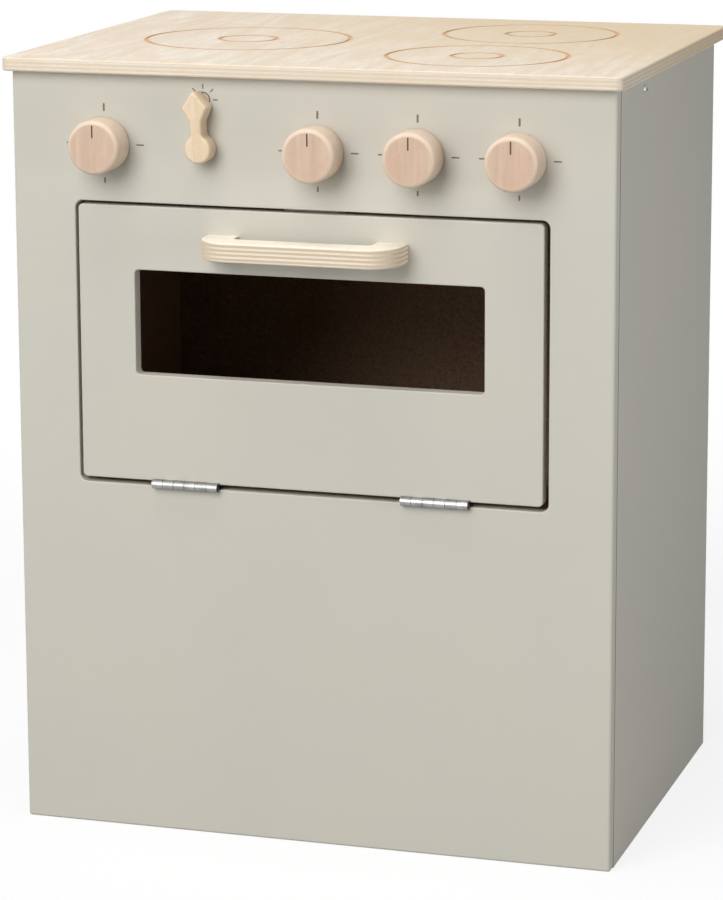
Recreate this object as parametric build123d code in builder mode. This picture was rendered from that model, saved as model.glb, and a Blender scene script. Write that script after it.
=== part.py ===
from build123d import *
import math
import os

# A toy play kitchen: a painted board cabinet with a plywood worktop, an oven door and turned knobs.
# Sizes are in millimetres. +Z is up, the front faces -Y, and X runs to the cook's right.
# The origin is on the floor, under the middle of the whole object.

os.makedirs("parts", exist_ok=True)

# The cabinet
body_width = 390.0
body_height = 489.4
body_depth = 280.0
front_thickness = 9.0
side_thickness = 9.0
back_thickness = 6.0
shelf_thickness = 6.0
board_fit = 0.15
groove_depth = 3.0
back_rebate = 5.0
front_edge_radius = 2.0
front_foot_radius = 1.5
side_easing = 1.0
seam_easing = 0.5
easing = 0.8
base_height = 12.0
back_lift = 2.0
ceiling_gap = 3.3

# The worktop and its rails
top_thickness = 8.6
top_overhang_front = 7.0
top_overhang_side = 5.0
top_overhang_rear = 18.0
top_corner_radius = 5.5
top_easing = 1.2
hob_groove_width = 1.8
hob_groove_depth = 0.4
large_hob_radius = 66.7
large_hob_inner = 18.8
small_hob_radius = 57.0
small_hob_inner = 16.2
large_hob_place = (110.1, 136.4)
small_hob_places = ((281.0, 211.9), (281.0, 79.8))
rail_height = 15.4
rail_width = 20.0
front_rail_setback = 71.6
worktop_screw_spread = 240.0
worktop_screw_bite = 6.0

# The door and its opening
opening_inset = 41.0
opening_drop = 80.7
opening_height = 181.2
opening_corner_radius = 5.0
door_gap_left = 2.0
door_gap_right = 3.7
door_gap_top = 2.2
door_gap_bottom = 3.2
door_thickness = 9.0
door_corner_radius = 3.0
window_side_margin = 37.2
window_bottom_margin = 68.2
window_height = 67.1
window_corner_radius = 2.8

# The hinges
hinge_inset = 113.0
knuckle_count = 6
knuckle_pitch = 7.3
knuckle_play = 0.3
leaf_thickness = 1.2
leaf_reach = 11.0
hinge_pin_radius = 1.5
pin_play = 0.05
knuckle_proud = 2.5
recess_play = 0.05
recess_end_play = 0.5
hinge_screw_spacing = 28.0
hinge_screw_length = 10.0

# The handle
handle_length = 130.0
handle_middle = 194.5
handle_reach = 29.0
handle_bar_depth = 17.0
handle_foot = 20.5
handle_thickness = 12.2
handle_corner_radius = 20.0
handle_gap_radius = 3.0
handle_below_door_top = 21.9
handle_easing = 1.0
handle_screw_bite = 14.0

# The knobs and the pointer
knob_places = (61.5, 201.6, 265.6, 329.6)
control_drop = 44.4
knob_radius = 17.0
knob_length = 20.6
knob_rim_radius = 2.8
knob_back_chamfer = 0.8
knob_gap = 0.4
index_width = 1.0
index_inner = 6.2
index_outer = 14.1
index_depth = 0.4
spindle_radius = 4.0
spindle_play = 0.08
spindle_grip = 12.0
washer_radius = 8.0
washer_thickness = 1.0
washer_gap = 0.3
pointer_place = 127.3
pointer_thickness = 11.8
pointer_gap = 0.9
pointer_lean = 4.0
pointer_disc_radius = 8.6
pointer_neck_root = 3.0
pointer_waist = 3.9
pointer_waist_height = 17.2
pointer_head = 8.3
pointer_head_height = 25.8
pointer_tip_height = 36.8
pointer_tip_radius = 1.8
pointer_head_radius = 2.6
pointer_waist_radius = 5.0
pointer_joint_radius = 4.0
pointer_easing = 1.6
pointer_grip = 7.0
spacer_radius = 6.5
spacer_thickness = 0.6

# The magnetic catch
strike_length = 34.0
strike_height = 11.0
strike_thickness = 1.0
strike_corner_radius = 2.0
strike_screw_spacing = 22.0
strike_below_door_top = 7.0
catch_gap = 0.3
catch_length = 36.0
catch_depth = 13.0
catch_wall = 2.0
catch_easing = 0.8
ear_corner_radius = 3.0
ear_length = 12.0
ear_thickness = 3.0
magnet_length = 30.0
magnet_depth = 8.0
magnet_height = 8.0
magnet_proud = 0.15

# Fasteners: shank radius, head radius and head height
hole_play = 0.1
small_screw = (1.2, 2.3, 1.2)
wood_screw = (1.6, 3.1, 2.0)
handle_screw = (1.9, 3.6, 2.0)
dowel_radius = 3.0
dowel_in_front = 5.5
dowel_in_side = 16.0
dowel_count = 3
dowel_lowest = 60.0
dowel_drop = 49.4
pin_chamfer = 0.3
rail_screw_bite = 24.0
back_screw_bite = 11.0
catch_screw_bite = 4.5
strike_screw_length = 6.0
spindle_screw_bite = 9.0
back_screw_count = 4
back_screw_lowest = 40.0
back_screw_drop = 59.4
back_screw_spread = 180.0

# Places worked out from the sizes above
front_y = handle_reach - (handle_reach + body_depth + top_overhang_rear) / 2
rear_y = front_y + body_depth
front_back_y = front_y + front_thickness
back_front_y = rear_y - back_thickness
left_x = -body_width / 2
inner_width = body_width - 2 * side_thickness
side_middle_y = (front_back_y + rear_y) / 2
side_run = rear_y - front_back_y
shelf_run = back_front_y - front_back_y
shelf_width = inner_width + 2 * groove_depth - 2 * board_fit
opening_width = body_width - 2 * opening_inset
opening_left = left_x + opening_inset
opening_top = body_height - opening_drop
opening_bottom = opening_top - opening_height
door_left = opening_left + door_gap_left
door_right = opening_left + opening_width - door_gap_right
door_width = door_right - door_left
door_middle = (door_left + door_right) / 2
door_bottom = opening_bottom + door_gap_bottom
door_top = opening_top - door_gap_top
door_height = door_top - door_bottom
door_back_y = front_y + door_thickness
window_width = door_width - 2 * window_side_margin
window_middle_z = door_bottom + window_bottom_margin + window_height / 2
axis_y = front_y - knuckle_proud
axis_z = (opening_bottom + door_bottom) / 2
knuckle_radius = hinge_pin_radius + pin_play + leaf_thickness
hinge_length = knuckle_count * knuckle_pitch
hinge_places = (left_x + hinge_inset, -left_x - hinge_inset)
recess_length = hinge_length + 2 * recess_end_play
recess_depth = knuckle_radius + recess_play - door_gap_bottom / 2
hinge_screw_y = front_y + front_thickness / 2
control_z = body_height - control_drop
handle_z = door_top - handle_below_door_top
handle_x = left_x + handle_middle
rail_z = body_height - rail_height / 2
front_rail_y = front_y + front_rail_setback
rear_rail_y = back_front_y - rail_width / 2
oven_floor_z = opening_bottom - shelf_thickness
oven_ceiling_z = opening_top + ceiling_gap
strike_z = door_top - strike_below_door_top
strike_back_y = door_back_y + strike_thickness
catch_front_y = strike_back_y + catch_gap + magnet_proud
catch_bottom = strike_z - magnet_height / 2 - catch_wall
washer_y = front_back_y + washer_gap


def evenly(lowest, highest, count):
    """Places from the lowest to the highest, evenly spaced."""
    return [lowest + (highest - lowest) * number / (count - 1) for number in range(count)]


def front_plane(y):
    """A plane that faces the cook at depth y: its own x and y run along X and Z."""
    return Plane.XZ.offset(-y)


def seat(x, y, z, outward):
    """Where a screw's head sits, with the direction that the head faces."""
    return Plane((x, y, z), z_dir=outward)


def keep(builder, label):
    """Names a finished piece and writes its file."""
    builder.part.label = label
    export_step(builder.part, f"parts/{label}.step")


def make_screws(label, size, length, seats, head_form):
    """One screw on each seat, turned from half its outline. Its head is flat, dome or pan."""
    shank, head, height = size
    with BuildPart() as screws:
        for place in seats:
            side_view = Plane(place.origin, x_dir=place.x_dir, z_dir=place.x_dir.cross(place.z_dir))
            with BuildSketch(side_view):
                with BuildLine():
                    if head_form == "flat":
                        Polyline((0, 0), (0, -length), (shank, -length), (shank, shank - head), (head, 0))
                        Line((head, 0), (0, 0))
                    else:
                        Polyline((0, height), (0, -length), (shank, -length), (shank, 0), (head, 0))
                        if head_form == "pan":
                            Polyline((head, 0), (head, height), (0, height))
                        else:
                            RadiusArc((head, 0), (0, height), -(head**2 + height**2) / (2 * height))
                make_face()
            revolve(axis=Axis(place.origin, place.z_dir))
    keep(screws, label)


shelf_levels = (base_height, oven_floor_z, oven_ceiling_z)
shelf_middle_y = front_back_y + shelf_run / 2
dowel_places = [
    (side * (body_width - side_thickness) / 2, z)
    for side in (-1, 1)
    for z in evenly(dowel_lowest, body_height - dowel_drop, dowel_count)
]

# Where the screws go, for the screws and for the pieces that they pass through
rail_screw_seats = [
    seat(side * body_width / 2, front_rail_y, rail_z, (side, 0, 0)) for side in (-1, 1)
]
worktop_screw_seats = [
    seat(side * worktop_screw_spread / 2, y, body_height - rail_height, (0, 0, -1))
    for side in (-1, 1)
    for y in (front_rail_y, rear_rail_y)
]
back_screw_seats = [
    seat(side * (inner_width + back_rebate) / 2, rear_y, z, (0, 1, 0))
    for side in (-1, 1)
    for z in evenly(back_screw_lowest, body_height - back_screw_drop, back_screw_count)
] + [seat(side * back_screw_spread / 2, rear_y, rail_z, (0, 1, 0)) for side in (-1, 1)]
leaf_screw_seats = [
    seat(x + side * hinge_screw_spacing / 2, hinge_screw_y, axis_z - hinge_pin_radius - pin_play, (0, 0, 1))
    for x in hinge_places
    for side in (-1, 1)
]
door_screw_seats = [
    seat(x + side * hinge_screw_spacing / 2, hinge_screw_y, axis_z + hinge_pin_radius + pin_play, (0, 0, -1))
    for x in hinge_places
    for side in (-1, 1)
]
handle_screw_seats = [
    seat(handle_x + side * (handle_length - handle_foot) / 2, door_back_y, handle_z, (0, 1, 0))
    for side in (-1, 1)
]
strike_screw_seats = [
    seat(door_middle + side * strike_screw_spacing / 2, strike_back_y, strike_z, (0, 1, 0))
    for side in (-1, 1)
]
catch_screw_seats = [
    seat(
        door_middle + side * (catch_length + ear_length) / 2,
        catch_front_y + catch_depth / 2,
        oven_ceiling_z - ear_thickness,
        (0, 0, -1),
    )
    for side in (-1, 1)
]

rail_screw_length = side_thickness + rail_screw_bite
worktop_screw_length = rail_height + worktop_screw_bite
back_screw_length = back_thickness + back_screw_bite
handle_screw_length = door_thickness + handle_screw_bite
catch_screw_length = ear_thickness + catch_screw_bite


def drill(seats, size, length):
    """Holes for the shanks of screws, a little wider and deeper than they are."""
    with Locations(*seats):
        Hole(size[0] + hole_play, depth=length + hole_play)


def sink(seats, size, depth):
    """Countersunk holes for flat-headed screws."""
    with Locations(*seats):
        CounterSinkHole(size[0] + hole_play, size[1] + hole_play, depth=depth, counter_sink_angle=90)


# The worktop: a plywood board with eased edges and the hobs' rings engraved in it
def make_worktop():
    width = body_width + 2 * top_overhang_side
    depth = top_overhang_front + body_depth + top_overhang_rear
    with BuildPart() as worktop:
        with BuildSketch(Plane.XY.offset(body_height)):
            with Locations((0, front_y - top_overhang_front + depth / 2)):
                RectangleRounded(width, depth, top_corner_radius)
        extrude(amount=top_thickness)
        fillet(worktop.faces().sort_by(Axis.Z)[-1].edges(), top_easing)
        fillet(worktop.faces().sort_by(Axis.Z)[0].edges(), top_easing)
        hobs = [(large_hob_place, (large_hob_radius, large_hob_inner))]
        hobs += [(place, (small_hob_radius, small_hob_inner)) for place in small_hob_places]
        with BuildSketch(Plane.XY.offset(body_height + top_thickness)):
            for place, radii in hobs:
                with Locations((left_x + place[0], front_y + place[1])):
                    for radius in radii:
                        Circle(radius + hob_groove_width / 2)
                        Circle(radius - hob_groove_width / 2, mode=Mode.SUBTRACT)
        extrude(amount=-hob_groove_depth, mode=Mode.SUBTRACT)
        drill(worktop_screw_seats, wood_screw, worktop_screw_length)
    keep(worktop, "worktop")


# The front panel: the door opening, the hinge recesses and the controls' holes
def make_front_panel():
    with BuildPart() as front_panel:
        with BuildSketch(front_plane(front_back_y)):
            with Locations((0, body_height / 2)):
                Rectangle(body_width, body_height)
            with Locations((0, opening_bottom + opening_height / 2)):
                RectangleRounded(
                    opening_width, opening_height, opening_corner_radius, mode=Mode.SUBTRACT
                )
        extrude(amount=front_thickness)
        face = front_panel.faces().sort_by(Axis.Y)[0]
        fillet(face.outer_wire().edges().filter_by(Axis.Z), front_edge_radius)
        back_face = front_panel.faces().sort_by(Axis.Y)[-1]
        fillet(back_face.outer_wire().edges().filter_by(Axis.Z), seam_easing)
        fillet(front_panel.edges().filter_by(Axis.Y).group_by(Axis.Z)[0], front_foot_radius)
        fillet(front_panel.faces().sort_by(Axis.Y)[0].inner_wires()[0].edges(), easing)
        with BuildSketch(front_plane(front_y)):
            with Locations(*[(left_x + x, control_z) for x in (*knob_places, pointer_place)]):
                Circle(spindle_radius + spindle_play)
            with Locations(*[(x, opening_bottom) for x in hinge_places]):
                Rectangle(recess_length, 2 * recess_depth)
        extrude(amount=-front_thickness, mode=Mode.SUBTRACT)
        with BuildSketch(front_plane(front_back_y)):
            with Locations(*dowel_places):
                Circle(dowel_radius + hole_play)
        extrude(amount=dowel_in_front + hole_play, mode=Mode.SUBTRACT)
        drill(leaf_screw_seats, small_screw, hinge_screw_length)
    keep(front_panel, "front_panel")


# The side panels: grooves for the three inner boards and a rebate for the back
def make_side_panel(side, label):
    with BuildPart() as panel:
        with BuildSketch(Plane.XY):
            with Locations((side * (body_width - side_thickness) / 2, side_middle_y)):
                Rectangle(side_thickness, side_run)
        extrude(amount=body_height)
        outer = -1 if side > 0 else 0
        for corners, radius in ((0, seam_easing), (-1, side_easing)):
            upright = panel.edges().filter_by(Axis.Z).group_by(Axis.Y)[corners].sort_by(Axis.X)
            fillet(upright[outer], radius)
        with BuildSketch(Plane.YZ.offset(side * inner_width / 2)):
            with Locations(*[(shelf_middle_y, z + shelf_thickness / 2) for z in shelf_levels]):
                Rectangle(shelf_run, shelf_thickness + 2 * board_fit)
        extrude(amount=side * groove_depth, mode=Mode.SUBTRACT)
        with BuildSketch(Plane.YZ.offset(side * inner_width / 2)):
            with Locations((rear_y - back_thickness / 2, body_height / 2)):
                Rectangle(back_thickness, body_height)
        extrude(amount=side * back_rebate, mode=Mode.SUBTRACT)
        with BuildSketch(front_plane(front_back_y)):
            with Locations(*dowel_places):
                Circle(dowel_radius + hole_play)
        extrude(amount=-dowel_in_side - hole_play, mode=Mode.SUBTRACT)
        drill(rail_screw_seats, wood_screw, rail_screw_length)
        drill(back_screw_seats, small_screw, back_screw_length)
    keep(panel, label)


# The three boards that sit in the side panels' grooves
def make_shelf(bottom, label):
    with BuildPart() as shelf:
        with BuildSketch(Plane.XY.offset(bottom)):
            with Locations((0, shelf_middle_y)):
                Rectangle(shelf_width, shelf_run - 2 * board_fit)
        extrude(amount=shelf_thickness)
        if bottom == oven_ceiling_z:
            drill(catch_screw_seats, small_screw, catch_screw_length)
    keep(shelf, label)


# The back panel lies in the side panels' rebates
def make_back_panel():
    with BuildPart() as back_panel:
        with BuildSketch(front_plane(rear_y)):
            with Locations((0, (back_lift + body_height - board_fit) / 2)):
                Rectangle(inner_width + 2 * (back_rebate - board_fit), body_height - board_fit - back_lift)
        extrude(amount=back_thickness)
        sink(back_screw_seats, small_screw, back_screw_length)
    keep(back_panel, "back_panel")


# The rails tie the sides together and hold the worktop
def make_rail(middle_y, label):
    with BuildPart() as rail:
        with BuildSketch(Plane.XY.offset(body_height)):
            with Locations((0, middle_y)):
                Rectangle(inner_width - 2 * board_fit, rail_width)
        extrude(amount=-rail_height)
        drill(worktop_screw_seats, wood_screw, worktop_screw_length)
        if middle_y == front_rail_y:
            drill(rail_screw_seats, wood_screw, rail_screw_length)
        else:
            drill(back_screw_seats, small_screw, back_screw_length)
    keep(rail, label)


def make_dowels():
    with BuildPart() as dowels:
        with BuildSketch(front_plane(front_back_y + dowel_in_side)):
            with Locations(*dowel_places):
                Circle(dowel_radius)
        extrude(amount=dowel_in_side + dowel_in_front)
    keep(dowels, "front_dowels")


# The door: a rounded board with a window, let out for the hinge leaves
def make_door_panel():
    with BuildPart() as door_panel:
        with BuildSketch(front_plane(door_back_y)):
            with Locations((door_middle, (door_bottom + door_top) / 2)):
                RectangleRounded(door_width, door_height, door_corner_radius)
            with Locations((door_middle, window_middle_z)):
                RectangleRounded(
                    window_width, window_height, window_corner_radius, mode=Mode.SUBTRACT
                )
        extrude(amount=door_thickness)
        fillet(door_panel.faces().sort_by(Axis.Y)[0].edges(), easing)
        with BuildSketch(front_plane(front_y)):
            with Locations(*[(x, door_bottom) for x in hinge_places]):
                Rectangle(recess_length, 2 * recess_depth)
        extrude(amount=-door_thickness, mode=Mode.SUBTRACT)
        drill(door_screw_seats, small_screw, hinge_screw_length)
        drill(handle_screw_seats, handle_screw, handle_screw_length)
        drill(strike_screw_seats, small_screw, strike_screw_length)
    keep(door_panel, "door_panel")


# A butt hinge: two leaves whose knuckles take turns along one pin
def make_hinge_leaf(middle_x, first, outward, seats, label):
    """first is the leaf's first knuckle; outward is 1 for the door's leaf and -1 for the fixed one."""
    leaf_middle = outward * (knuckle_radius - leaf_thickness / 2)
    clear_of_pin = knuckle_radius + recess_end_play
    with BuildPart() as leaf:
        with BuildSketch(Plane.YZ.offset(middle_x - hinge_length / 2)):
            with Locations((axis_y + (clear_of_pin + leaf_reach) / 2, axis_z + leaf_middle)):
                Rectangle(leaf_reach - clear_of_pin, leaf_thickness)
        extrude(amount=hinge_length)
        for number in range(first, knuckle_count, 2):
            start = middle_x - hinge_length / 2 + number * knuckle_pitch + knuckle_play / 2
            with BuildSketch(Plane.YZ.offset(start)):
                with Locations((axis_y, axis_z)):
                    Circle(knuckle_radius)
                with Locations((axis_y + clear_of_pin / 2, axis_z + leaf_middle)):
                    Rectangle(clear_of_pin, leaf_thickness)
                with Locations((axis_y, axis_z)):
                    Circle(hinge_pin_radius + pin_play, mode=Mode.SUBTRACT)
            extrude(amount=knuckle_pitch - knuckle_play)
        sink(seats, small_screw, hinge_screw_length)
    keep(leaf, label)


def make_hinge_pin(middle_x, label):
    with BuildPart() as pin:
        with BuildSketch(Plane.YZ.offset(middle_x - hinge_length / 2)):
            with Locations((axis_y, axis_z)):
                Circle(hinge_pin_radius)
        extrude(amount=hinge_length)
        chamfer(pin.edges().filter_by(GeomType.CIRCLE), pin_chamfer)
    keep(pin, label)


# The handle: a plywood bow on two feet
def make_handle():
    gap_depth = handle_reach - handle_bar_depth
    with BuildPart() as door_handle:
        with BuildSketch(Plane.XY.offset(handle_z - handle_thickness / 2)) as outline:
            with Locations((handle_x, front_y - handle_reach / 2)):
                Rectangle(handle_length, handle_reach)
            fillet(outline.vertices().group_by(Axis.Y)[0], handle_corner_radius)
            with Locations((handle_x, front_y - gap_depth / 2)):
                Rectangle(handle_length - 2 * handle_foot, gap_depth, mode=Mode.SUBTRACT)
            bar_back_y = front_y - gap_depth
            bar_corners = outline.vertices().sort_by(lambda corner: abs(corner.Y - bar_back_y))[:4]
            fillet(bar_corners.sort_by(lambda corner: abs(corner.X - handle_x))[:2], handle_gap_radius)
        extrude(amount=handle_thickness)
        rims = door_handle.faces().filter_by(Axis.Z).edges()
        fillet(rims.filter_by(lambda rim: rim.center().Y < front_y - 0.01), handle_easing)
        drill(handle_screw_seats, handle_screw, handle_screw_length)
    keep(door_handle, "door_handle")


def make_strike_plate():
    with BuildPart() as strike_plate:
        with BuildSketch(front_plane(strike_back_y)):
            with Locations((door_middle, strike_z)):
                RectangleRounded(strike_length, strike_height, strike_corner_radius)
        extrude(amount=strike_thickness)
        sink(strike_screw_seats, small_screw, strike_screw_length)
    keep(strike_plate, "strike_plate")


# The magnetic catch hangs from the oven's ceiling by two ears
def make_catch():
    middle = (door_middle, catch_front_y + catch_depth / 2)
    with BuildPart() as catch_housing:
        with BuildSketch(Plane.XY.offset(catch_bottom)):
            with Locations(middle):
                Rectangle(catch_length, catch_depth)
        extrude(amount=oven_ceiling_z - catch_bottom)
        fillet(catch_housing.edges().filter_by(Axis.Z), catch_easing)
        with BuildSketch(Plane.XY.offset(oven_ceiling_z)):
            with Locations(middle):
                RectangleRounded(catch_length + 2 * ear_length, catch_depth, ear_corner_radius)
        extrude(amount=-ear_thickness)
        with BuildSketch(front_plane(catch_front_y)):
            with Locations((door_middle, strike_z)):
                Rectangle(magnet_length + 2 * hole_play, magnet_height + 2 * hole_play)
        extrude(amount=-magnet_depth, mode=Mode.SUBTRACT)
        drill(catch_screw_seats, small_screw, catch_screw_length)
    keep(catch_housing, "catch_housing")

    with BuildPart() as catch_magnet:
        with BuildSketch(front_plane(catch_front_y - magnet_proud)):
            with Locations((door_middle, strike_z)):
                Rectangle(magnet_length, magnet_height)
        extrude(amount=-magnet_depth - magnet_proud)
    keep(catch_magnet, "catch_magnet")


# A turned knob with a line cut in its face
def make_knob(x, label):
    knob_back = front_y - knob_gap
    with BuildPart() as knob:
        with BuildSketch(front_plane(knob_back)):
            with Locations((x, control_z)):
                Circle(knob_radius)
        extrude(amount=knob_length)
        fillet(knob.faces().sort_by(Axis.Y)[0].edges(), knob_rim_radius)
        chamfer(knob.faces().sort_by(Axis.Y)[-1].edges(), knob_back_chamfer)
        with BuildSketch(front_plane(knob_back - knob_length)):
            with Locations((x, control_z + (index_inner + index_outer) / 2)):
                Rectangle(index_width, index_outer - index_inner)
        extrude(amount=-index_depth, mode=Mode.SUBTRACT)
        with BuildSketch(front_plane(knob_back)):
            with Locations((x, control_z)):
                Circle(spindle_radius + hole_play)
        extrude(amount=spindle_grip + hole_play, mode=Mode.SUBTRACT)
    keep(knob, label)


# The pointer: a disc, a neck and an arrow head in one piece of plywood
def make_pointer(x):
    lean = math.radians(pointer_lean)
    pointer_back = Plane(
        (x, front_y - pointer_gap, control_z),
        x_dir=(math.cos(lean), 0, math.sin(lean)),
        z_dir=(0, -1, 0),
    )
    right_half = [
        (pointer_neck_root, 0),
        (pointer_waist, pointer_waist_height),
        (pointer_head, pointer_head_height),
    ]
    left_half = [(-px, py) for px, py in reversed(right_half)]
    with BuildPart() as pointer:
        with BuildSketch(pointer_back) as outline:
            with BuildLine():
                Polyline(*right_half, (0, pointer_tip_height), *left_half, close=True)
            make_face()
            Circle(pointer_disc_radius)
            for low, high, radius in (
                (pointer_tip_height, pointer_tip_height, pointer_tip_radius),
                (pointer_head_height, pointer_head_height, pointer_head_radius),
                (pointer_waist_height, pointer_waist_height, pointer_waist_radius),
                (pointer_disc_radius / 2, pointer_disc_radius, pointer_joint_radius),
            ):
                corners = outline.vertices().filter_by_position(Axis.Y, low - 0.01, high + 0.01)
                fillet(corners, radius)
        extrude(amount=pointer_thickness)
        fillet(pointer.faces().sort_by(Axis.Y)[0].edges(), pointer_easing)
        with BuildSketch(pointer_back):
            Circle(spindle_radius + hole_play)
        extrude(amount=pointer_grip + hole_play, mode=Mode.SUBTRACT)
    keep(pointer, "pointer")


def make_ring(x, back_y, outer, inner, thickness, label):
    with BuildPart() as ring:
        with BuildSketch(front_plane(back_y)):
            with Locations((x, control_z)):
                Circle(outer)
                Circle(inner, mode=Mode.SUBTRACT)
        extrude(amount=thickness)
    keep(ring, label)


# What holds a knob or the pointer: a wooden spindle, and a washer and a screw behind the panel
def make_spindle(x, front_end_y, name):
    screw_seat = seat(x, washer_y + washer_thickness, control_z, (0, 1, 0))
    screw_length = washer_thickness + spindle_screw_bite
    with BuildPart() as spindle:
        with BuildSketch(front_plane(washer_y)):
            with Locations((x, control_z)):
                Circle(spindle_radius)
        extrude(amount=washer_y - front_end_y)
        drill([screw_seat], wood_screw, screw_length)
    keep(spindle, f"{name}_spindle")
    shank = wood_screw[0] + hole_play
    make_ring(x, washer_y + washer_thickness, washer_radius, shank, washer_thickness, f"{name}_washer")
    make_screws(f"{name}_screw", wood_screw, screw_length, [screw_seat], "pan")


make_worktop()
make_front_panel()
make_side_panel(-1, "side_panel_left")
make_side_panel(1, "side_panel_right")
make_shelf(base_height, "base_panel")
make_shelf(oven_floor_z, "oven_floor")
make_shelf(oven_ceiling_z, "oven_ceiling")
make_back_panel()
make_rail(front_rail_y, "front_rail")
make_rail(rear_rail_y, "rear_rail")
make_dowels()
make_screws("rail_screws", wood_screw, rail_screw_length, rail_screw_seats, "dome")
make_screws("worktop_screws", wood_screw, worktop_screw_length, worktop_screw_seats, "pan")
make_screws("back_screws", small_screw, back_screw_length, back_screw_seats, "flat")

for side_name, hinge_x in zip(("left", "right"), hinge_places):
    make_hinge_leaf(hinge_x, 0, -1, leaf_screw_seats, f"hinge_{side_name}_fixed_leaf")
    make_hinge_leaf(hinge_x, 1, 1, door_screw_seats, f"hinge_{side_name}_door_leaf")
    make_hinge_pin(hinge_x, f"hinge_{side_name}_pin")
make_screws("hinge_screws_fixed", small_screw, hinge_screw_length, leaf_screw_seats, "flat")
make_screws("hinge_screws_door", small_screw, hinge_screw_length, door_screw_seats, "flat")

make_door_panel()
make_handle()
make_screws("handle_screws", handle_screw, handle_screw_length, handle_screw_seats, "dome")
make_strike_plate()
make_screws("strike_screws", small_screw, strike_screw_length, strike_screw_seats, "flat")
make_catch()
make_screws("catch_screws", small_screw, catch_screw_length, catch_screw_seats, "pan")

for number, place in enumerate(knob_places, start=1):
    make_knob(left_x + place, f"knob_{number}")
    make_spindle(left_x + place, front_y - knob_gap - spindle_grip, f"knob_{number}")
pointer_x = left_x + pointer_place
make_pointer(pointer_x)
make_spindle(pointer_x, front_y - pointer_gap - pointer_grip, "pointer")
spacer_back_y = front_y - (pointer_gap - spacer_thickness) / 2
make_ring(
    pointer_x, spacer_back_y, spacer_radius, spindle_radius + hole_play, spacer_thickness, "pointer_spacer"
)
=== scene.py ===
import math

import bpy
import numpy as np
from mathutils import Matrix, Vector


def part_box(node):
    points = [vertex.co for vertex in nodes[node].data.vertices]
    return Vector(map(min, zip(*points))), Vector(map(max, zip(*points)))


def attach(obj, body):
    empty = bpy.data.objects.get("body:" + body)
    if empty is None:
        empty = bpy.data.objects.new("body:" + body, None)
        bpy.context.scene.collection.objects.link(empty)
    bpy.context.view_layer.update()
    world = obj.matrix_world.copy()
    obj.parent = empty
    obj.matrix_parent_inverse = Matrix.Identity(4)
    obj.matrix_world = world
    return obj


# A toy play kitchen: a painted board cabinet with a plywood worktop, an oven door and turned beech knobs.
# Metres. +Z is up, the front faces -Y, and the origin is on the floor under the middle.

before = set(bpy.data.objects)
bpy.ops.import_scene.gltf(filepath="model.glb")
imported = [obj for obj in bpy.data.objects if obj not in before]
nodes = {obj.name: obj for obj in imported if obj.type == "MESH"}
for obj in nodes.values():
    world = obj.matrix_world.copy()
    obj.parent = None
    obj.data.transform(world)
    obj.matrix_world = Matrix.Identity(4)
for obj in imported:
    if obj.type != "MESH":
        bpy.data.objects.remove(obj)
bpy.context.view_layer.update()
mm = 0.001
print("frame loaded:", len(nodes), "nodes")


def colour(red, green, blue):
    # a colour as it is seen on a screen, 0 to 255, as the linear light that a shader takes
    seen = np.array([red, green, blue]) / 255
    light = np.where(seen <= 0.04045, seen / 12.92, ((seen + 0.055) / 1.055) ** 2.4)
    return (*light.tolist(), 1.0)


class Wire:
    # one socket in a material's tree: sums on it add Math nodes
    def __init__(self, tree, socket):
        self.tree, self.socket = tree, socket

    # any other node: its settings first, then a value or a link for each of its sockets
    def node(self, kind, settings=None, inputs=None, output=0):
        made = self.tree.nodes.new(kind)
        for name, value in (settings or {}).items():
            setattr(made, name, value)
        for name, value in (inputs or {}).items():
            if isinstance(value, Wire):
                self.tree.links.new(value.socket, made.inputs[name])
            else:
                made.inputs[name].default_value = value
        return Wire(self.tree, made.outputs[output])

    def math(self, operation, *values):
        return self.node("ShaderNodeMath", {"operation": operation}, dict(enumerate(values)))

    def __add__(self, other):
        return self.math("ADD", self, other)

    def __sub__(self, other):
        return self.math("SUBTRACT", self, other)

    def __rsub__(self, other):
        return self.math("SUBTRACT", other, self)

    def __mul__(self, other):
        return self.math("MULTIPLY", self, other)

    def __truediv__(self, other):
        return self.math("DIVIDE", self, other)

    def __gt__(self, other):
        return self.math("GREATER_THAN", self, other)

    def __lt__(self, other):
        return self.math("LESS_THAN", self, other)

    def __abs__(self):
        return self.math("ABSOLUTE", self)

    __radd__, __rmul__ = __add__, __mul__

    # 0 below low, 1 above high, and a smooth step between them
    def step(self, low, high):
        return self.node("ShaderNodeMapRange", {"interpolation_type": "SMOOTHSTEP"},
                         {"Value": self, "From Min": low, "From Max": high})

    # one colour where the mask is 0 and another where it is 1
    def mix(self, first, second):
        return self.node("ShaderNodeMix", {"data_type": "RGBA"}, {0: self, 6: first, 7: second}, 2)

    # from low to high as this goes from 0 to 1
    def span(self, low, high):
        return low + (high - low) * self


def layered(base, pattern, layer):
    # a tone over the base colour where a pattern is strong: the layer says where its mask starts and ends,
    # its share and its tone
    start, end, share, tone = layer
    return (pattern.step(start, end) * share).mix(base, tone)


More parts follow.
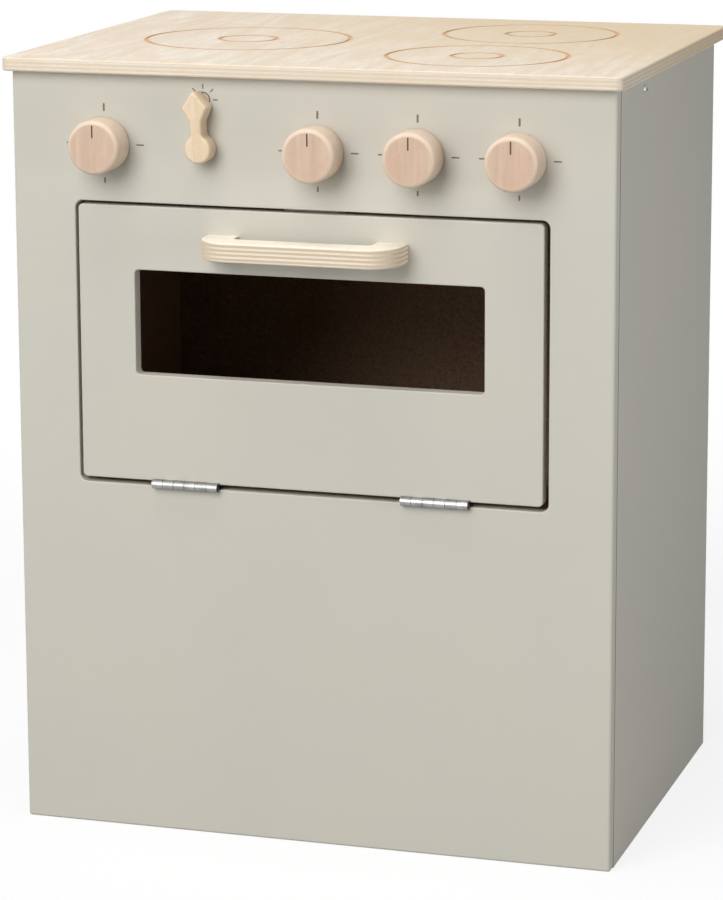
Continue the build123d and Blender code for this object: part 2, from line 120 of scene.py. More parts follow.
class Finish:
    # a material with its Principled shader, whose patterns start from Object coordinates
    def __init__(self, name, metallic=0.0, specular=0.5):
        self.material = bpy.data.materials.new(name)
        self.material.use_nodes = True
        self.tree = self.material.node_tree
        self.shader = self.tree.nodes["Principled BSDF"]
        self.shader.inputs["Metallic"].default_value = metallic
        self.shader.inputs["Specular IOR Level"].default_value = specular
        coordinates = self.tree.nodes.new("ShaderNodeTexCoord")
        self.place = Wire(self.tree, coordinates.outputs["Object"])
        self.facing = Wire(self.tree, coordinates.outputs["Normal"])
        self.x, self.y, self.z = self.parts(self.place)

    # a vector's three numbers
    def parts(self, vector):
        split = vector.node("ShaderNodeSeparateXYZ", None, {0: vector})
        return [Wire(self.tree, split.socket.node.outputs[axis]) for axis in range(3)]

    # the place, stretched: a pattern on it has features of about these sizes along X, Y and Z
    def stretched(self, sizes, shift=(0, 0, 0)):
        inputs = {"Vector": self.place, "Location": shift, "Scale": [1 / size for size in sizes]}
        return self.place.node("ShaderNodeMapping", None, inputs)

    # soft cloudy noise from 0 to 1 on a stretched place, or with features of one size
    def noise(self, vector, detail=2.0, rough=0.5, twist=0.0):
        if not isinstance(vector, Wire):
            vector = self.stretched((vector,) * 3)
        inputs = {"Vector": vector, "Scale": 1.0, "Detail": detail, "Roughness": rough, "Distortion": twist}
        return self.place.node("ShaderNodeTexNoise", {"noise_dimensions": "3D"}, inputs)

    # feeds the shader's sockets by their names, with blanks written as underscores
    def wear(self, **values):
        for name, value in values.items():
            self.tree.links.new(value.socket, self.shader.inputs[name.replace("_", " ")])

    # the surface's relief: a height in metres
    def relief(self, height):
        inputs = {"Height": height, "Distance": 1.0, "Strength": 1.0}
        self.wear(Normal=self.place.node("ShaderNodeBump", None, inputs))

    # gives the material to nodes of the frame
    def dress(self, *names):
        for name in names:
            data = nodes[name].data
            data.materials.clear()
            data.materials.append(self.material)


# Raw boards with short fibres: tan fibreboard inside and brown hardboard behind
rawBoards = {
    "fibreboard": {
        "dark": colour(150, 125, 100),
        "light": (0.25, 0.75, 1.0, colour(196, 171, 141)),
        "patch": (0.2, 0.8, 0.5, colour(175, 148, 118)),
        "fibreSize": 0.8 * mm,
    },
    "hardboard": {
        "dark": colour(104, 80, 62),
        "light": (0.25, 0.75, 1.0, colour(160, 132, 106)),
        "patch": (0.2, 0.8, 0.5, colour(132, 104, 82)),
        "fibreSize": 1.4 * mm,
    },
    "patchSize": 30 * mm,
    "specular": 0.3,
    "roughness": (0.85, 0.7),
    "depth": 0.06 * mm,
}


def rawSurface(finish, kind):
    # its colour and its relief
    recipe = rawBoards[kind]
    fibre = finish.noise(recipe["fibreSize"], 4, 0.7)
    patch = finish.noise(rawBoards["patchSize"], 2)
    board = layered(recipe["dark"], fibre, recipe["light"])
    return layered(board, patch, recipe["patch"]), fibre * rawBoards["depth"]


def makeRawBoard(kind):
    finish = Finish(f"raw_{kind}", specular=rawBoards["specular"])
    board, height = rawSurface(finish, kind)
    roughness = finish.noise(rawBoards["patchSize"]).span(*rawBoards["roughness"])
    finish.wear(Base_Color=board, Roughness=roughness)
    finish.relief(height)
    return finish


# Painted board: satin greige paint with a roller's fine stipple, on the outer faces only
paintedBoard = {
    "cooler": colour(197, 194, 183),
    "warmer": (0.3, 0.7, 1.0, colour(200, 195, 183)),
    # painted shade for the joint between the front and a side
    "jointShade": colour(72, 66, 58),
    "jointHalfWidth": 0.5 * mm,
    "jointReach": 1.5 * mm,
    "cloudSize": 140 * mm,
    "stippleSize": 0.9 * mm,
    "stippleDepth": 0.018 * mm,
    "specular": 0.25,
    "roughness": (0.48, 0.56),
    "paintEnd": 0.3 * mm,
    "thickness": 9 * mm,
}
frontLow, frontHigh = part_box("front_panel")
_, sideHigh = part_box("side_panel_right")


def makePaintedBoard(name, rawMask=None):
    recipe = paintedBoard
    finish = Finish(name, specular=recipe["specular"])
    cloud = finish.noise(recipe["cloudSize"], 3)
    stipple = finish.noise(recipe["stippleSize"], 1)
    paint = layered(recipe["cooler"], cloud, recipe["warmer"])
    roughness = stipple.span(*recipe["roughness"])
    height = stipple * recipe["stippleDepth"]
    if rawMask:
        raw = rawMask(finish)
        board, boardHeight = rawSurface(finish, "fibreboard")
        # painted shade: the joint between the front and a side is drawn as a thin dark line of shade
        fromJoint = abs(finish.y - frontHigh.y)
        outside = abs(finish.x) > frontHigh.x - recipe["jointReach"]
        halfWidth = recipe["jointHalfWidth"]
        jointShade = (1 - fromJoint.step(halfWidth, halfWidth + recipe["paintEnd"])) * outside
        paint = jointShade.mix(raw.mix(paint, board), recipe["jointShade"])
        roughness = roughness + raw * (rawBoards["roughness"][0] - roughness)
        height = height + raw * boardHeight
    finish.wear(Base_Color=paint, Roughness=roughness)
    finish.relief(height)
    return finish


def makeBoards():
    # the paint stops just round each outer edge
    paintEnd = paintedBoard["paintEnd"]
    innerX = sideHigh.x - paintedBoard["thickness"] + paintEnd

    def behindFront(finish):
        return finish.y.step(frontHigh.y - 2 * paintEnd, frontHigh.y - paintEnd)

    def insideSide(finish):
        return 1 - abs(finish.x).step(innerX, innerX + paintEnd)

    makePaintedBoard("paintedFront", behindFront).dress("front_panel")
    makePaintedBoard("paintedSide", insideSide).dress("side_panel_left", "side_panel_right")
    makePaintedBoard("paintedDoor").dress("door_panel")
    makeRawBoard("fibreboard").dress("base_panel", "oven_floor", "oven_ceiling")
    makeRawBoard("hardboard").dress("back_panel")


# Birch plywood: thin plies whose grain takes turns, with pale long grain and browner ends
birchPlywood = {
    # each pattern's length and width on the wood, its detail and its twist
    "patterns": {
        "figure": (420 * mm, 46 * mm, 2, 0.5),
        "curl": (30 * mm, 5 * mm, 3, 0.8),
        "mottle": (70 * mm, 24 * mm, 3, 1.2),
        "fibre": (14 * mm, 0.6 * mm, 2, 0.0),
        "speckle": (4 * mm, 1.3 * mm, 2, 0.0),
        "fleck": (5 * mm, 0.5 * mm, 1, 0.0),
    },
    "patternRough": 0.55,
    "figureWaves": 52,
    # where each pattern's mask starts and ends, and the names of its share and of the tone that it lays
    "layers": (
        ("curl", 0.35, 0.75, "figureShare", "honey"),
        ("mottle", 0.4, 0.66, "rosyShare", "rosy"),
        ("fibre", 0.3, 0.75, "fibreShare", "honey"),
        ("speckle", 0.46, 0.62, "speckleShare", "honey"),
        ("fleck", 0.62, 0.74, "fleckShare", "darkFleck"),
    ),
    "darkFleck": colour(186, 156, 120),
    "figureShare": 0.6,
    "fibreShare": 0.3,
    "speckleShare": 0.45,
    "fleckShare": 0.45,
    "wander": 0.3 * mm,
    "wanderSize": 25 * mm,
    "outerPly": 0.3,
    "plyFade": (0.4, 0.6),
    "edgeFade": (0.5, 0.9),
    "poreSize": 0.5 * mm,
    "poreMask": (0.3, 0.8),
    "poreShare": (0.6, 1.2),
    "glue": colour(204, 180, 150),
    "glueShare": 0.5,
    "glueFade": (0.02, 0.14),
    "gluePatch": 6 * mm,
    "gluePatchMask": (0.2, 0.6),
    "specular": 0.4,
    "roughness": (0.4, 0.5),
    "endRoughness": 0.15,
    "depth": 0.008 * mm,
}
worktopBoard = {
    "node": "worktop",
    "plyAxis": "z",
    "grain": "y",
    "plies": 7,
    "pale": colour(244, 236, 223),
    "honey": colour(220, 201, 174),
    "rosy": colour(226, 195, 164),
    "rosyShare": 0.4,
    # the veneer's own warmer tone together with painted shade towards the right rear
    "warmthAndShade": (-0.01, 0.08, 0.8, colour(217, 191, 150)),
    "sawn": colour(226, 213, 195),
    "sawnShare": 0.6,
    "end": colour(204, 188, 168),
    "endShare": 0.6,
}
handleBoard = {
    "node": "door_handle",
    "plyAxis": "z",
    "grain": "x",
    "plies": 9,
    "pale": colour(248, 241, 229),
    "honey": colour(237, 226, 208),
    "rosy": colour(228, 207, 182),
    "rosyShare": 0.2,
    "sawn": colour(226, 209, 186),
    "sawnShare": 0.5,
    "end": colour(194, 170, 139),
    "endShare": 0.9,
}
pointerBoard = {
    "node": "pointer",
    "plyAxis": "y",
    "grain": "z",
    "plies": 7,
    "pale": colour(230, 213, 190),
    "honey": colour(220, 194, 160),
    "rosy": colour(224, 198, 168),
    "rosyShare": 0.2,
    "sawn": colour(220, 201, 174),
    "sawnShare": 0.4,
    "end": colour(214, 193, 164),
    "endShare": 0.5,
}


def makePlywood(board):
    recipe = {**birchPlywood, **board}
    low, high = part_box(recipe["node"])
    finish = Finish(f"birch_{recipe['node']}", specular=recipe["specular"])
    places = dict(zip("xyz", (finish.x, finish.y, finish.z)))
    plyAxis, grainAxis = recipe["plyAxis"], recipe["grain"]
    crossAxis = next(axis for axis in "xyz" if axis not in (plyAxis, grainAxis))
    lowest, highest = (getattr(corner, plyAxis) for corner in (low, high))
    wander = (finish.noise(recipe["wanderSize"], 3) - 0.5) * recipe["wander"]
    layer = (places[plyAxis] + wander - lowest) / ((highest - lowest) / recipe["plies"])
    # the board's faces stay inside its outer plies
    least, most = recipe["outerPly"], recipe["plies"] - recipe["outerPly"]
    layer = layer.math("MINIMUM", layer.math("MAXIMUM", layer, least), most)
    crossing = layer.math("PINGPONG", layer - 0.5, 1.0).step(*recipe["plyFade"])
    fromGlue = abs(layer - layer.math("ROUND", layer))

    def grain(length, width, detail, twist):
        # noise drawn out along each ply's own grain
        drawn = []
        for longAxis in (grainAxis, crossAxis):
            sizes = [length if axis == longAxis else width for axis in "xyz"]
            drawn.append(finish.noise(finish.stretched(sizes), detail, recipe["patternRough"], twist))
        along, across = drawn
        return along + crossing * (across - along)

    patterns = {name: grain(*sizes) for name, sizes in recipe["patterns"].items()}
    figure, fibre = patterns["figure"], patterns["fibre"]
    rings = figure.math("SINE", figure * recipe["figureWaves"]) * 0.5 + 0.5
    wood = (rings * recipe["figureShare"]).mix(recipe["pale"], recipe["honey"])
    for name, start, end, share, tone in recipe["layers"]:
        wood = layered(wood, patterns[name], (start, end, recipe[share], recipe[tone]))

    # the edges show sawn plies: end grain where a ply's grain meets the edge, and glue lines between plies
    facing = dict(zip("xyz", (abs(part) for part in finish.parts(finish.facing))))
    endGrain = facing[grainAxis] + crossing * (facing[crossAxis] - facing[grainAxis])
    edge = 1 - facing[plyAxis].step(*recipe["edgeFade"])
    pore = finish.noise(recipe["poreSize"], 2).step(*recipe["poreMask"]).span(*recipe["poreShare"])
    wood = (edge * recipe["sawnShare"]).mix(wood, recipe["sawn"])
    wood = (edge * endGrain * (recipe["endShare"] * pore)).mix(wood, recipe["end"])
    gluePatch = finish.noise(recipe["gluePatch"], 2).step(*recipe["gluePatchMask"])
    glueLine = (1 - fromGlue.step(*recipe["glueFade"])) * edge * gluePatch
    wood = (glueLine * recipe["glueShare"]).mix(wood, recipe["glue"])
    finish.wear(Roughness=fibre.span(*recipe["roughness"]) + recipe["endRoughness"] * endGrain)
    finish.relief(fibre * recipe["depth"])
    return finish, wood


# The hobs: each is two engraved rings, toasted brown by the cutter
hobs = {
    # each hob's middle from the front panel's left edge and front face, and its rings, in millimetres
    "places": ((110.1, 136.4), (281.0, 211.9), (281.0, 79.8)),
    "radii": ((66.7, 18.8), (57.0, 16.2), (57.0, 16.2)),
    "burn": colour(201, 153, 102),
    "halo": colour(214, 176, 130),
    # how far from the middle of a ring its burn and its halo start to fade and are gone
    "burnFade": (1.2 * mm, 1.6 * mm),
    "haloFade": (1.3 * mm, 3.1 * mm),
    "burnShare": (0.45, 1.05),
    "haloShare": (0.25, 0.75),
    "scorchSize": 7 * mm,
}


def engrave(finish, wood):
    for (left, back), radii in zip(hobs["places"], hobs["radii"]):
        dx, dy = finish.x - (frontLow.x + left * mm), finish.y - (frontLow.y + back * mm)
        distance = dx.math("SQRT", dx * dx + dy * dy)
        scorch = finish.noise(hobs["scorchSize"], 2)
        for radius in radii:
            off = abs(distance - radius * mm)
            near = 1 - off.step(*hobs["haloFade"])
            inside = 1 - off.step(*hobs["burnFade"])
            wood = (near * scorch.span(*hobs["haloShare"])).mix(wood, hobs["halo"])
            wood = (inside * scorch.span(*hobs["burnShare"])).mix(wood, hobs["burn"])
    return wood


def makePlywoodPieces():
    for board in (worktopBoard, handleBoard, pointerBoard):
        finish, wood = makePlywood(board)
        if board is worktopBoard:
            # the veneer turns warmer and darker from the left front corner to the right rear one: partly
            # its own tone, partly painted shade where less light falls
            low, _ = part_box(board["node"])
            area = (finish.x - low.x) * (finish.y - low.y)
            wood = engrave(finish, layered(wood, area, board["warmthAndShade"]))
        finish.wear(Base_Color=wood)
        finish.dress(board["node"])


# Turned beech: the grain runs up the knob's face, with short flecks, the index is a dark cut line, and a
# painted highlight makes the rim paler
beech = {
    "pale": colour(213, 188, 166),
    "figure": (0.3, 0.7, 1.0, colour(199, 168, 145)),
    "blush": (0.45, 0.75, 0.5, colour(208, 168, 144)),
    "fibre": (0.3, 0.7, 0.3, colour(199, 168, 145)),
    "fleck": colour(174, 136, 108),
    "fleckMask": (0.62, 0.74),
    "fleckShare": 0.3,
    "figureSizes": (7 * mm, 9 * mm, 90 * mm),
    "blushSizes": (16 * mm, 16 * mm, 16 * mm),
    "fibreSizes": (0.7 * mm, 0.7 * mm, 20 * mm),
    "fleckSizes": (0.9 * mm, 0.5 * mm, 3.2 * mm),
    # a painted highlight: the rounded rim round each knob's face is paler, as light from above would make
    # it
    "rim": colour(228, 209, 188),
    "rimShare": 0.65,
    "rimFade": (0.8, 0.93),
    "index": colour(96, 72, 60),
    "indexHalfWidth": 0.6 * mm,
    "indexFrom": 6.1 * mm,
    "indexTo": 14.2 * mm,
    "indexTop": 0.05 * mm,
    "indexBottom": 0.45 * mm,
    "shift": (0.37, 0.11, 0.53),
    "specular": 0.4,
    "roughness": (0.38, 0.52),
    "depth": 0.008 * mm,
}


def makeBeech(name, middle, radius, frontY, shift):
    recipe = beech
    finish = Finish(name, specular=recipe["specular"])
    figure = finish.noise(finish.stretched(recipe["figureSizes"], shift), 3, 0.5, 0.6)
    blush = finish.noise(finish.stretched(recipe["blushSizes"], shift), 2)
    fibre = finish.noise(finish.stretched(recipe["fibreSizes"], shift), 2)
    fleck = finish.noise(finish.stretched(recipe["fleckSizes"], shift), 1).step(*recipe["fleckMask"])
    wood = layered(recipe["pale"], figure, recipe["figure"])
    wood = layered(wood, blush, recipe["blush"])
    wood = layered(wood, fibre, recipe["fibre"])
    wood = (fleck * recipe["fleckShare"]).mix(wood, recipe["fleck"])
    dx, dz = finish.x - middle.x, finish.z - middle.z
    fromAxis = dx.math("SQRT", dx * dx + dz * dz)
    # painted highlight: the rim is paler than the face
    rim = fromAxis.step(*[share * radius for share in recipe["rimFade"]])
    wood = (rim * recipe["rimShare"]).mix(wood, recipe["rim"])
    inCut = abs(dx) < recipe["indexHalfWidth"]
    inCut = inCut * (finish.y > frontY + recipe["indexTop"]) * (finish.y < frontY + recipe["indexBottom"])
    inCut = inCut * (dz > recipe["indexFrom"]) * (dz < recipe["indexTo"])
    finish.wear(Base_Color=inCut.mix(wood, recipe["index"]), Roughness=fibre.span(*recipe["roughness"]))
    finish.relief((fibre - fleck) * recipe["depth"])
    return finish


def makeKnobs():
    for number in range(1, 5):
        # each knob is cut from its own place in the wood
        shift = [number * step for step in beech["shift"]]
        low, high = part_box(f"knob_{number}")
        middle, radius = (low + high) / 2, (high.x - low.x) / 2
        makeBeech(f"beechKnob{number}", middle, radius, low.y, shift).dress(f"knob_{number}")


# Softwood: the hidden rails, dowels and spindles
softwood = {
    "early": colour(226, 196, 150),
    "late": (0.45, 1.0, 0.8, colour(190, 144, 96)),
    "streak": (0.6, 0.8, 0.3, colour(150, 104, 66)),
    "rings": 42,
    "railSizes": (300 * mm, 20 * mm, 20 * mm),
    "pinSizes": (20 * mm, 200 * mm, 20 * mm),
    "fibresAcross": 14,
    "roughness": (0.55, 0.75),
    "depth": 0.04 * mm,
}


def makeSoftwood(name, sizes):
    finish = Finish(name)
    bent = finish.noise(finish.stretched(sizes), 2, 0.5, 0.8)
    rings = bent.math("SINE", bent * softwood["rings"]) * 0.5 + 0.5
    fibre = finish.noise(finish.stretched([size / softwood["fibresAcross"] for size in sizes]), 3)
    wood = layered(softwood["early"], rings, softwood["late"])
    wood = layered(wood, fibre, softwood["streak"])
    finish.wear(Base_Color=wood, Roughness=fibre.span(*softwood["roughness"]))
    finish.relief(fibre * softwood["depth"])
    return finish


def makeHiddenWood():
    makeSoftwood("softwoodRails", softwood["railSizes"]).dress("front_rail", "rear_rail")
    pins = makeSoftwood("softwoodPins", softwood["pinSizes"])
    pins.dress("front_dowels", *[name for name in nodes if name.endswith("_spindle")])


# Bright plated steel: the hinges, screws, washers and the strike plate
brightSteel = {
    "bright": colour(172, 172, 171),
    "dull": (0.3, 0.75, 1.0, colour(140, 141, 140)),
    "stain": (0.62, 0.8, 0.3, colour(104, 104, 102)),
    # painted shade in the gaps between the knuckles
    "gapShade": colour(52, 50, 47),
    "knuckles": 6,
    "knuckleReach": 2.4 * mm,
    "gapHalfWidth": 0.25 * mm,
    "gapBlur": 0.3 * mm,
    "gapMetallic": 0.2,
    "gapRoughness": 0.4,
    "metallic": 0.85,
    "roughness": (0.26, 0.4),
    "brushRoughness": 0.08,
    "brushSizes": (0.2 * mm, 3 * mm, 3 * mm),
    "cloudSize": 6 * mm,
    "depth": 0.006 * mm,
}


def makeSteel(name):
    recipe = brightSteel
    finish = Finish(name, metallic=recipe["metallic"])
    brushed = finish.noise(finish.stretched(recipe["brushSizes"]), 2)
    cloud = finish.noise(recipe["cloudSize"], 3)
    metal = layered(recipe["bright"], cloud, recipe["dull"])
    metal = layered(metal, brushed, recipe["stain"])
    finish.relief(brushed * recipe["depth"])
    return finish, metal, cloud.span(*recipe["roughness"]) + recipe["brushRoughness"] * brushed


def makeHinges():
    # painted shade darkens the gap where one knuckle of a hinge meets the next
    recipe = brightSteel
    halfWidth, metallic = recipe["gapHalfWidth"], recipe["metallic"]
    for side in ("left", "right"):
        finish, metal, roughness = makeSteel(f"hinge_steel_{side}")
        low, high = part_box(f"hinge_{side}_pin")
        axis, pitch = (low + high) / 2, (high.x - low.x) / recipe["knuckles"]
        knuckle = (finish.x - low.x) / pitch
        fromGap = abs(knuckle - knuckle.math("ROUND", knuckle)) * pitch
        dy, dz = finish.y - axis.y, finish.z - axis.z
        onKnuckle = dy * dy + dz * dz < recipe["knuckleReach"] ** 2
        gapShade = (1 - fromGap.step(halfWidth, halfWidth + recipe["gapBlur"])) * onKnuckle
        finish.wear(Base_Color=gapShade.mix(metal, recipe["gapShade"]),
                    Roughness=roughness + gapShade * recipe["gapRoughness"],
                    Metallic=metallic - gapShade * (metallic - recipe["gapMetallic"]))
        finish.dress(*[f"hinge_{side}_{part}" for part in ("door_leaf", "fixed_leaf", "pin")])


def makeFasteners():
    steel, metal, roughness = makeSteel("brightSteel")
    steel.wear(Base_Color=metal, Roughness=roughness)
    words = ("screw", "washer", "strike_plate")
    steel.dress(*[name for name in nodes if any(word in name for word in words)])


# The catch's moulded plastic and the magnet's ferrite
catchFinishes = {
    "plastic": colour(226, 223, 212),
    "plasticShade": (0.2, 0.8, 1.0, colour(214, 210, 198)),
    "plasticGrain": 0.6 * mm,
    "plasticPatch": 10 * mm,
    "plasticRoughness": (0.44, 0.56),
    "plasticDepth": 0.01 * mm,
    "ferrite": colour(46, 46, 48),
    "ferriteSpeck": (0.3, 0.8, 1.0, colour(78, 77, 78)),
    "ferriteGrain": 0.5 * mm,
    "ferriteRoughness": (0.5, 0.7),
    "ferriteDepth": 0.02 * mm,
}


def makeCatchFinishes():
    recipe = catchFinishes
    plastic = Finish("catchPlastic")
    grainy = plastic.noise(recipe["plasticGrain"], 2)
    patch = plastic.noise(recipe["plasticPatch"], 2)
    plastic.wear(Base_Color=layered(recipe["plastic"], patch, recipe["plasticShade"]),
                 Roughness=grainy.span(*recipe["plasticRoughness"]))
    plastic.relief(grainy * recipe["plasticDepth"])
    plastic.dress("catch_housing", "pointer_spacer")
    ferrite = Finish("ferrite")
    speck = ferrite.noise(recipe["ferriteGrain"], 3, 0.7)
    ferrite.wear(Base_Color=layered(recipe["ferrite"], speck, recipe["ferriteSpeck"]),
                 Roughness=speck.span(*recipe["ferriteRoughness"]))
    ferrite.relief(speck * recipe["ferriteDepth"])
    ferrite.dress("catch_magnet")


makeBoards()
makePlywoodPieces()
makeKnobs()
makeHiddenWood()
makeHinges()
makeFasteners()
makeCatchFinishes()
print("materials made")


def makePiece(name, points, faces, finish, body, slot):
    mesh = bpy.data.meshes.new(name)
    mesh.from_pydata(points.tolist(), [], faces)
    mesh.update()
    mesh.materials.append(finish.material)
    piece = bpy.data.objects.new(name, mesh)
    bpy.context.scene.collection.objects.link(piece)
    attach(piece, body)


def joined(shapes):
    # several shapes in one mesh: each shape's faces count on from the points before it
    points, faces, used = [], [], 0
    for shapePoints, shapeFaces in shapes:
        points.append(shapePoints)
        faces += [[index + used for index in face] for face in shapeFaces]
        used += len(shapePoints)
    return np.concatenate(points), faces


# Printed marks: rounded strokes of dark ink, a hair proud of the paint
marks = {
    "ink": colour(104, 94, 84),
    "worn": (0.3, 0.8, 0.4, colour(128, 118, 106)),
    "roughness": (0.42, 0.62),
    "proud": 0.03 * mm,
    "sunk": 0.05 * mm,
    "inkSize": 0.8 * mm,
    "inkDepth": 0.006 * mm,
    # each tick's angle in degrees from the right, then its start, end and width in millimetres
    "ticks": (
        (0, 21.3, 26.5, 0.95),
        (90, 20.4, 25.6, 1.35),
        (180, 20.2, 25.4, 0.95),
        (270, 21.2, 24.8, 1.2),
    ),
    # the lamp's middle from the front panel's left edge and from the floor, in millimetres
    "lampPlace": (127.3, 475.0),
    "lampRadius": 4.4 * mm,
    "lampLine": 0.85 * mm,
    "rayFrom": 6.6 * mm,
    "rayTo": 9.8 * mm,
    "rayAngles": (0, 45, 90, 135),
    "segments": 12,
}


def makeInk():
    finish = Finish("printedInk")
    patch = finish.noise(marks["inkSize"])
    finish.wear(Base_Color=layered(marks["ink"], patch, marks["worn"]),
                Roughness=patch.span(*marks["roughness"]))
    finish.relief(patch * marks["inkDepth"])
    return finish


def prism(outline):
    # the same outline at two depths, joined by a band of sides and closed by two caps
    count = len(outline)
    x, z = outline.T
    front = np.stack([x, np.full(count, frontLow.y - marks["proud"]), z], 1)
    back = np.stack([x, np.full(count, frontLow.y + marks["sunk"]), z], 1)
    ring = np.arange(count)
    after = (ring + 1) % count
    sides = np.stack([ring, ring + count, after + count, after], 1).tolist()
    return np.concatenate([front, back]), sides + [ring.tolist(), (ring[::-1] + count).tolist()]


def stroke(centre, angle, reachFrom, reachTo, width):
    # a stroke's outline is two half circles joined by straight sides: the angle runs once round, and the
    # circle's centre jumps from one end to the other where the cosine along the stroke changes its sign
    count = 2 * marks["segments"]
    turn = (np.arange(count) + 0.5) / count * 2 * math.pi
    direction = np.array([math.cos(angle), math.sin(angle)])
    sideways = np.array([-direction[1], direction[0]])
    along, beside = np.cos(turn)[:, None], np.sin(turn)[:, None]
    reach = np.where(along > 0, reachTo - width / 2, reachFrom + width / 2)
    return prism(centre + reach * direction + (along * direction + beside * sideways) * width / 2)


def loop(centre, radius, width):
    # a flat ring with a rectangular section: the angle goes round, the section has four corners
    count = 8 * marks["segments"]
    turn = (np.arange(count) / count * 2 * math.pi)[:, None]
    radii = radius + np.array([-1, 1, 1, -1]) * width / 2
    depths = frontLow.y + np.array([-marks["proud"], -marks["proud"], marks["sunk"], marks["sunk"]])
    x, z = centre[0] + np.cos(turn) * radii, centre[1] + np.sin(turn) * radii
    points = np.stack([x, np.broadcast_to(depths, x.shape), z], 2).reshape(-1, 3)
    ring, corner = np.meshgrid(np.arange(count), np.arange(4), indexing="ij")
    after, beside = (ring + 1) % count, (corner + 1) % 4
    faces = np.stack([ring * 4 + corner, ring * 4 + beside, after * 4 + beside, after * 4 + corner], 2)
    return points, faces.reshape(-1, 4).tolist()


def makeMarks():
    ink = makeInk()
    for number in range(1, 5):
        low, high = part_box(f"knob_{number}")
        centre = np.array([low.x + high.x, low.z + high.z]) / 2
        ticks = [stroke(centre, math.radians(angle), start * mm, end * mm, width * mm)
                 for angle, start, end, width in marks["ticks"]]
        makePiece(f"printed_ticks_{number}", *joined(ticks), ink, "cabinet", "printed_ink")
    right, up = marks["lampPlace"]
    centre = np.array([frontLow.x + right * mm, up * mm])
    lamp = [loop(centre, marks["lampRadius"], marks["lampLine"])]
    lamp += [stroke(centre, math.radians(angle), marks["rayFrom"], marks["rayTo"], marks["lampLine"])
             for angle in marks["rayAngles"]]
    makePiece("printed_lamp", *joined(lamp), ink, "cabinet", "printed_ink")


# The screws' cross recesses: painted shade, a dark cross laid on each bright head for the shade inside its
# recess
crosses = {
    # painted shade: the dark colour stands for the shade inside the recess
    "dark": colour(52, 52, 52),
    "worn": (0.3, 0.8, 1.0, colour(96, 96, 95)),
    "metallic": 0.8,
    "roughness": (0.4, 0.6),
    "proud": 0.02 * mm,
    "sunk": 0.25 * mm,
    "armShare": 0.56,
    "widthShare": 0.13,
    "around": 64,
    "rings": 5,
    "innermost": 0.02,
    "wornSize": 0.4 * mm,
    "depth": 0.01 * mm,
    "headSpread": 2.5,
    "headLayer": 0.01 * mm,
    # the node, its body, the axis and the way that its heads face, their radius and their dome's height
    "heads": (
        ("back_screws", "cabinet", 1, 1, 2.3 * mm, 0),
        ("rail_screws", "cabinet", 0, 1, 3.1 * mm, 2.0 * mm),
        ("rail_screws", "cabinet", 0, -1, 3.1 * mm, 2.0 * mm),
        ("hinge_screws_fixed", "cabinet", 2, 1, 2.3 * mm, 0),
        ("catch_screws", "cabinet", 2, -1, 2.3 * mm, 0),
        ("hinge_screws_door", "door", 2, -1, 2.3 * mm, 0),
        ("handle_screws", "door", 1, 1, 3.6 * mm, 2.0 * mm),
        ("strike_screws", "door", 1, 1, 2.3 * mm, 0),
    ),
}


def headMiddles(name, axis, way, radius):
    # the outermost points of a node's screws, gathered where they lie together on one head
    data = nodes[name].data
    points = np.empty(len(data.vertices) * 3)
    data.vertices.foreach_get("co", points)
    points = points.reshape(-1, 3)
    outward = points[:, axis] * way
    outermost = points[outward > outward.max() - crosses["headLayer"]]
    middles = []
    while len(outermost):
        together = np.linalg.norm(outermost - outermost[0], axis=1) < crosses["headSpread"] * radius
        middles.append((outermost[together].min(0) + outermost[together].max(0)) / 2)
        outermost = outermost[~together]
    return middles


def cross(middle, axis, way, radius, dome):
    # a plus sign reaches, at each angle, to the nearer of its arm's end and its arm's side; rings of points
    # shrink that outline to the middle, lie on the head's dome, and end in a wall that goes into the head
    count, rings = crosses["around"], crosses["rings"]
    turn = (np.arange(count) + 0.5) / count * 2 * math.pi
    smaller, larger = np.sort([abs(np.cos(turn)), abs(np.sin(turn))], axis=0)
    reach = radius * np.minimum(crosses["armShare"] / larger, crosses["widthShare"] / smaller)
    share = np.append(np.arange(rings, 0, -1) / rings, crosses["innermost"])
    share = np.insert(share, 0, 1.0)[:, None]
    across, up = share * reach * np.cos(turn), share * reach * np.sin(turn)
    drop = 0.0
    if dome:
        curve = (radius**2 + dome**2) / (2 * dome)
        drop = curve - np.sqrt(curve**2 - across**2 - up**2)
    height = np.full_like(across, crosses["proud"]) - drop
    height[0] -= crosses["proud"] + crosses["sunk"]
    sideways = [other for other in range(3) if other != axis]
    points = np.empty((*across.shape, 3))
    points[..., axis] = middle[axis] + way * height
    points[..., sideways[0]] = middle[sideways[0]] + across
    points[..., sideways[1]] = middle[sideways[1]] + up
    ring, place = np.meshgrid(np.arange(rings + 1), np.arange(count), indexing="ij")
    after = (place + 1) % count
    faces = np.stack([ring * count + place, ring * count + after, (ring + 1) * count + after,
                      (ring + 1) * count + place], 2).reshape(-1, 4)
    caps = [np.arange(count)[::-1].tolist(), ((rings + 1) * count + np.arange(count)).tolist()]
    faces = faces.tolist() + caps
    # across, up and the outward axis make a left hand where the axis is Y
    if way * (-1 if axis == 1 else 1) < 0:
        faces = [face[::-1] for face in faces]
    return points.reshape(-1, 3), faces


def makeCrosses():
    finish = Finish("screwRecessShade", metallic=crosses["metallic"])
    patch = finish.noise(crosses["wornSize"])
    finish.wear(Base_Color=layered(crosses["dark"], patch, crosses["worn"]),
                Roughness=patch.span(*crosses["roughness"]))
    finish.relief(patch * crosses["depth"])
    for name, body, axis, way, radius, dome in crosses["heads"]:
        shapes = [cross(middle, axis, way, radius, dome) for middle in headMiddles(name, axis, way, radius)]
        side = {(0, 1): "_right", (0, -1): "_left"}.get((axis, way), "")
        makePiece(f"{name}{side}_recess_shades", *joined(shapes), finish, body, "bright_steel")


makeMarks()
makeCrosses()
print("printed marks and screw recesses made")


